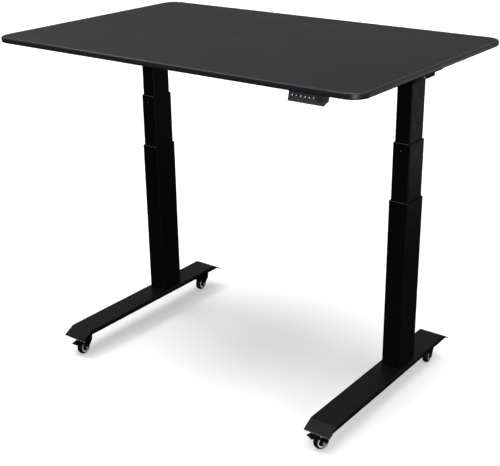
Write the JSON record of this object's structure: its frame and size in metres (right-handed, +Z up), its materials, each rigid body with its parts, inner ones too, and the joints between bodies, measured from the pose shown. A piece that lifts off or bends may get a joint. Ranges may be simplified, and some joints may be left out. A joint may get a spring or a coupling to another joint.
{
  "type": "height adjustable standing desk",
  "caption": "Sit-stand desk: rounded rectangular top on telescopic lifting columns, flat feet with swivel casters and a handset under the front edge.",
  "frame": {"origin": "on the floor under the middle of the desktop, at the pictured height", "axes": "+X along the desk to the user's right, -Y towards the user, +Z up"},
  "size_m": [1.2, 0.76, 1.016],
  "materials": {
    "desktop_laminate": "black fine-textured laminate on board",
    "black_frame": "black powder coat, fine texture",
    "column_coat": "black powder coat, smooth satin",
    "foot_coat": "black powder coat, satin",
    "zinc_fastener": "zinc plated",
    "ground_steel": "ground steel",
    "motor_can": "zinc plated can",
    "gearbox_cast": "die cast",
    "gear_brass": "machined",
    "nut_plastic": "natural moulded plastic",
    "glide_plastic": "black moulded plastic",
    "caster_fork_coat": "black coated pressed steel",
    "caster_tread": "black tread on a pale core",
    "pedal_coat": "black coated pressed steel",
    "box_plastic": "black moulded, spark-eroded texture",
    "handset_plastic": "dark moulded, faintly blue",
    "board_green": "circuit board",
    "display_window": "smoked gloss",
    "button_plastic": "dark key with a white round mark"
  },
  "bodies": {
    "left_base": {"left_foot": "foot_coat", "left_foot_bolts": "zinc_fastener", "left_caster_stems": "zinc_fastener", "left_outer_tube": "column_coat", "left_outer_glides": "glide_plastic", "left_lower_nut": "nut_plastic"},
    "left_middle_stage": {"left_middle_tube": "column_coat", "left_middle_glides": "glide_plastic", "left_nut_carrier": "ground_steel", "left_upper_nut": "nut_plastic"},
    "left_hollow_spindle": {"left_hollow_screw": "ground_steel"},
    "left_drive_spindle": {"left_drive_screw": "ground_steel", "left_worm_wheel": "gear_brass"},
    "left_worm": {"left_worm_shaft": "ground_steel"},
    "right_base": {"right_foot": "foot_coat", "right_foot_bolts": "zinc_fastener", "right_caster_stems": "zinc_fastener", "right_outer_tube": "column_coat", "right_outer_glides": "glide_plastic", "right_lower_nut": "nut_plastic"},
    "right_middle_stage": {"right_middle_tube": "column_coat", "right_middle_glides": "glide_plastic", "right_nut_carrier": "ground_steel", "right_upper_nut": "nut_plastic"},
    "right_hollow_spindle": {"right_hollow_screw": "ground_steel"},
    "right_drive_spindle": {"right_drive_screw": "ground_steel", "right_worm_wheel": "gear_brass"},
    "right_worm": {"right_worm_shaft": "ground_steel"},
    "top": {"desktop": "desktop_laminate", "desktop_screws": "zinc_fastener", "side_arms": "black_frame", "cross_rails": "black_frame", "frame_bolts": "zinc_fastener", "left_motor_housing": "black_frame", "right_motor_housing": "black_frame", "motors": "motor_can", "gearboxes": "gearbox_cast", "left_inner_tube": "column_coat", "right_inner_tube": "column_coat", "control_box": "box_plastic", "handset_case": "handset_plastic", "handset_board": "board_green", "handset_display": "display_window"},
    "front_left_swivel": {"front_left_fork": "caster_fork_coat"},
    "front_left_roller": {"front_left_wheel": "caster_tread"},
    "front_right_swivel": {"front_right_fork": "caster_fork_coat"},
    "front_right_roller": {"front_right_wheel": "caster_tread"},
    "rear_left_swivel": {"rear_left_fork": "caster_fork_coat"},
    "rear_left_roller": {"rear_left_wheel": "caster_tread"},
    "rear_right_swivel": {"rear_right_fork": "caster_fork_coat"},
    "rear_right_roller": {"rear_right_wheel": "caster_tread"},
    "front_left_brake": {"front_left_brake_pedal": "pedal_coat"},
    "front_right_brake": {"front_right_brake_pedal": "pedal_coat"},
    "button_memory_key": {"button_memory": "button_plastic"},
    "button_preset_1_key": {"button_preset_1": "button_plastic"},
    "button_preset_2_key": {"button_preset_2": "button_plastic"},
    "button_preset_3_key": {"button_preset_3": "button_plastic"},
    "button_up_key": {"button_up": "button_plastic"},
    "button_down_key": {"button_down": "button_plastic"}
  },
  "joints": [
    {"name": "left_lower_lift", "type": "slide", "parent": "left_base", "child": "left_middle_stage", "axis": [0, 0, 1], "range_m": [-0.16, 0.16]},
    {"name": "left_upper_lift", "type": "slide", "parent": "left_middle_stage", "child": "top", "axis": [0, 0, 1], "range_m": [-0.16, 0.16]},
    {"name": "right_upper_lift", "type": "slide", "parent": "top", "child": "right_middle_stage", "axis": [0, 0, -1], "range_m": [-0.16, 0.16]},
    {"name": "right_lower_lift", "type": "slide", "parent": "right_middle_stage", "child": "right_base", "axis": [0, 0, -1], "range_m": [-0.16, 0.16]},
    {"name": "left_drive_screw_spin", "type": "hinge", "parent": "top", "child": "left_drive_spindle", "pos_m": [-0.458, 0.125, 0.9], "axis": [0, 0, 1], "continuous": true},
    {"name": "left_hollow_screw_spin", "type": "hinge", "parent": "left_middle_stage", "child": "left_hollow_spindle", "pos_m": [-0.458, 0.125, 0.6], "axis": [0, 0, 1], "continuous": true},
    {"name": "left_worm_spin", "type": "hinge", "parent": "top", "child": "left_worm", "pos_m": [-0.436, 0.125, 0.978], "axis": [0, 1, 0], "continuous": true},
    {"name": "right_drive_screw_spin", "type": "hinge", "parent": "top", "child": "right_drive_spindle", "pos_m": [0.458, 0.125, 0.9], "axis": [0, 0, 1], "continuous": true},
    {"name": "right_hollow_screw_spin", "type": "hinge", "parent": "right_middle_stage", "child": "right_hollow_spindle", "pos_m": [0.458, 0.125, 0.6], "axis": [0, 0, 1], "continuous": true},
    {"name": "right_worm_spin", "type": "hinge", "parent": "top", "child": "right_worm", "pos_m": [0.436, 0.125, 0.978], "axis": [0, 1, 0], "continuous": true},
    {"name": "front_left_swivel", "type": "hinge", "parent": "left_base", "child": "front_left_swivel", "pos_m": [-0.458, -0.258, 0.06], "axis": [0, 0, 1], "continuous": true},
    {"name": "front_left_wheel_spin", "type": "hinge", "parent": "front_left_swivel", "child": "front_left_roller", "pos_m": [-0.45626, -0.27792, 0.0225], "axis": [0.9962, 0.0872, 0], "continuous": true},
    {"name": "front_left_brake_press", "type": "hinge", "parent": "front_left_swivel", "child": "front_left_brake", "pos_m": [-0.45547, -0.28689, 0.0465], "axis": [0.9962, 0.0872, 0], "range_deg": [0, 12]},
    {"name": "front_right_swivel", "type": "hinge", "parent": "right_base", "child": "front_right_swivel", "pos_m": [0.458, -0.258, 0.06], "axis": [0, 0, 1], "continuous": true},
    {"name": "front_right_wheel_spin", "type": "hinge", "parent": "front_right_swivel", "child": "front_right_roller", "pos_m": [0.44955, -0.27613, 0.0225], "axis": [0.9063, -0.4226, 0], "continuous": true},
    {"name": "front_right_brake_press", "type": "hinge", "parent": "front_right_swivel", "child": "front_right_brake", "pos_m": [0.44574, -0.28428, 0.0465], "axis": [0.9063, -0.4226, 0], "range_deg": [0, 12]},
    {"name": "rear_left_swivel", "type": "hinge", "parent": "left_base", "child": "rear_left_swivel", "pos_m": [-0.458, 0.33, 0.06], "axis": [0, 0, 1], "continuous": true},
    {"name": "rear_left_wheel_spin", "type": "hinge", "parent": "rear_left_swivel", "child": "rear_left_roller", "pos_m": [-0.45626, 0.31008, 0.0225], "axis": [0.9962, 0.0872, 0], "continuous": true},
    {"name": "rear_right_swivel", "type": "hinge", "parent": "right_base", "child": "rear_right_swivel", "pos_m": [0.458, 0.33, 0.06], "axis": [0, 0, 1], "continuous": true},
    {"name": "rear_right_wheel_spin", "type": "hinge", "parent": "rear_right_swivel", "child": "rear_right_roller", "pos_m": [0.46147, 0.3103, 0.0225], "axis": [0.9848, 0.1736, 0], "continuous": true},
    {"name": "button_memory_press", "type": "slide", "parent": "top", "child": "button_memory_key", "axis": [0, 0.9676, -0.2524], "range_m": [0, 0.0008], "stiffness_N_per_m": 500, "springref_m": -0.001},
    {"name": "button_preset_1_press", "type": "slide", "parent": "top", "child": "button_preset_1_key", "axis": [0, 0.9676, -0.2524], "range_m": [0, 0.0008], "stiffness_N_per_m": 500, "springref_m": -0.001},
    {"name": "button_preset_2_press", "type": "slide", "parent": "top", "child": "button_preset_2_key", "axis": [0, 0.9676, -0.2524], "range_m": [0, 0.0008], "stiffness_N_per_m": 500, "springref_m": -0.001},
    {"name": "button_preset_3_press", "type": "slide", "parent": "top", "child": "button_preset_3_key", "axis": [0, 0.9676, -0.2524], "range_m": [0, 0.0008], "stiffness_N_per_m": 500, "springref_m": -0.001},
    {"name": "button_up_press", "type": "slide", "parent": "top", "child": "button_up_key", "axis": [0, 0.9676, -0.2524], "range_m": [0, 0.0008], "stiffness_N_per_m": 500, "springref_m": -0.001},
    {"name": "button_down_press", "type": "slide", "parent": "top", "child": "button_down_key", "axis": [0, 0.9676, -0.2524], "range_m": [0, 0.0008], "stiffness_N_per_m": 500, "springref_m": -0.001}
  ],
  "couplings": [
    {"joint": "left_upper_lift", "follows": "left_lower_lift", "ratio": 1},
    {"joint": "right_upper_lift", "follows": "left_lower_lift", "ratio": 1},
    {"joint": "right_lower_lift", "follows": "left_lower_lift", "ratio": 1},
    {"joint": "left_drive_screw_spin", "follows": "left_lower_lift", "rad_per_m": 785.4},
    {"joint": "left_hollow_screw_spin", "follows": "left_lower_lift", "rad_per_m": 785.4},
    {"joint": "left_worm_spin", "follows": "left_lower_lift", "rad_per_m": 15708},
    {"joint": "right_drive_screw_spin", "follows": "left_lower_lift", "rad_per_m": 785.4},
    {"joint": "right_hollow_screw_spin", "follows": "left_lower_lift", "rad_per_m": 785.4},
    {"joint": "right_worm_spin", "follows": "left_lower_lift", "rad_per_m": -15708}
  ]
}
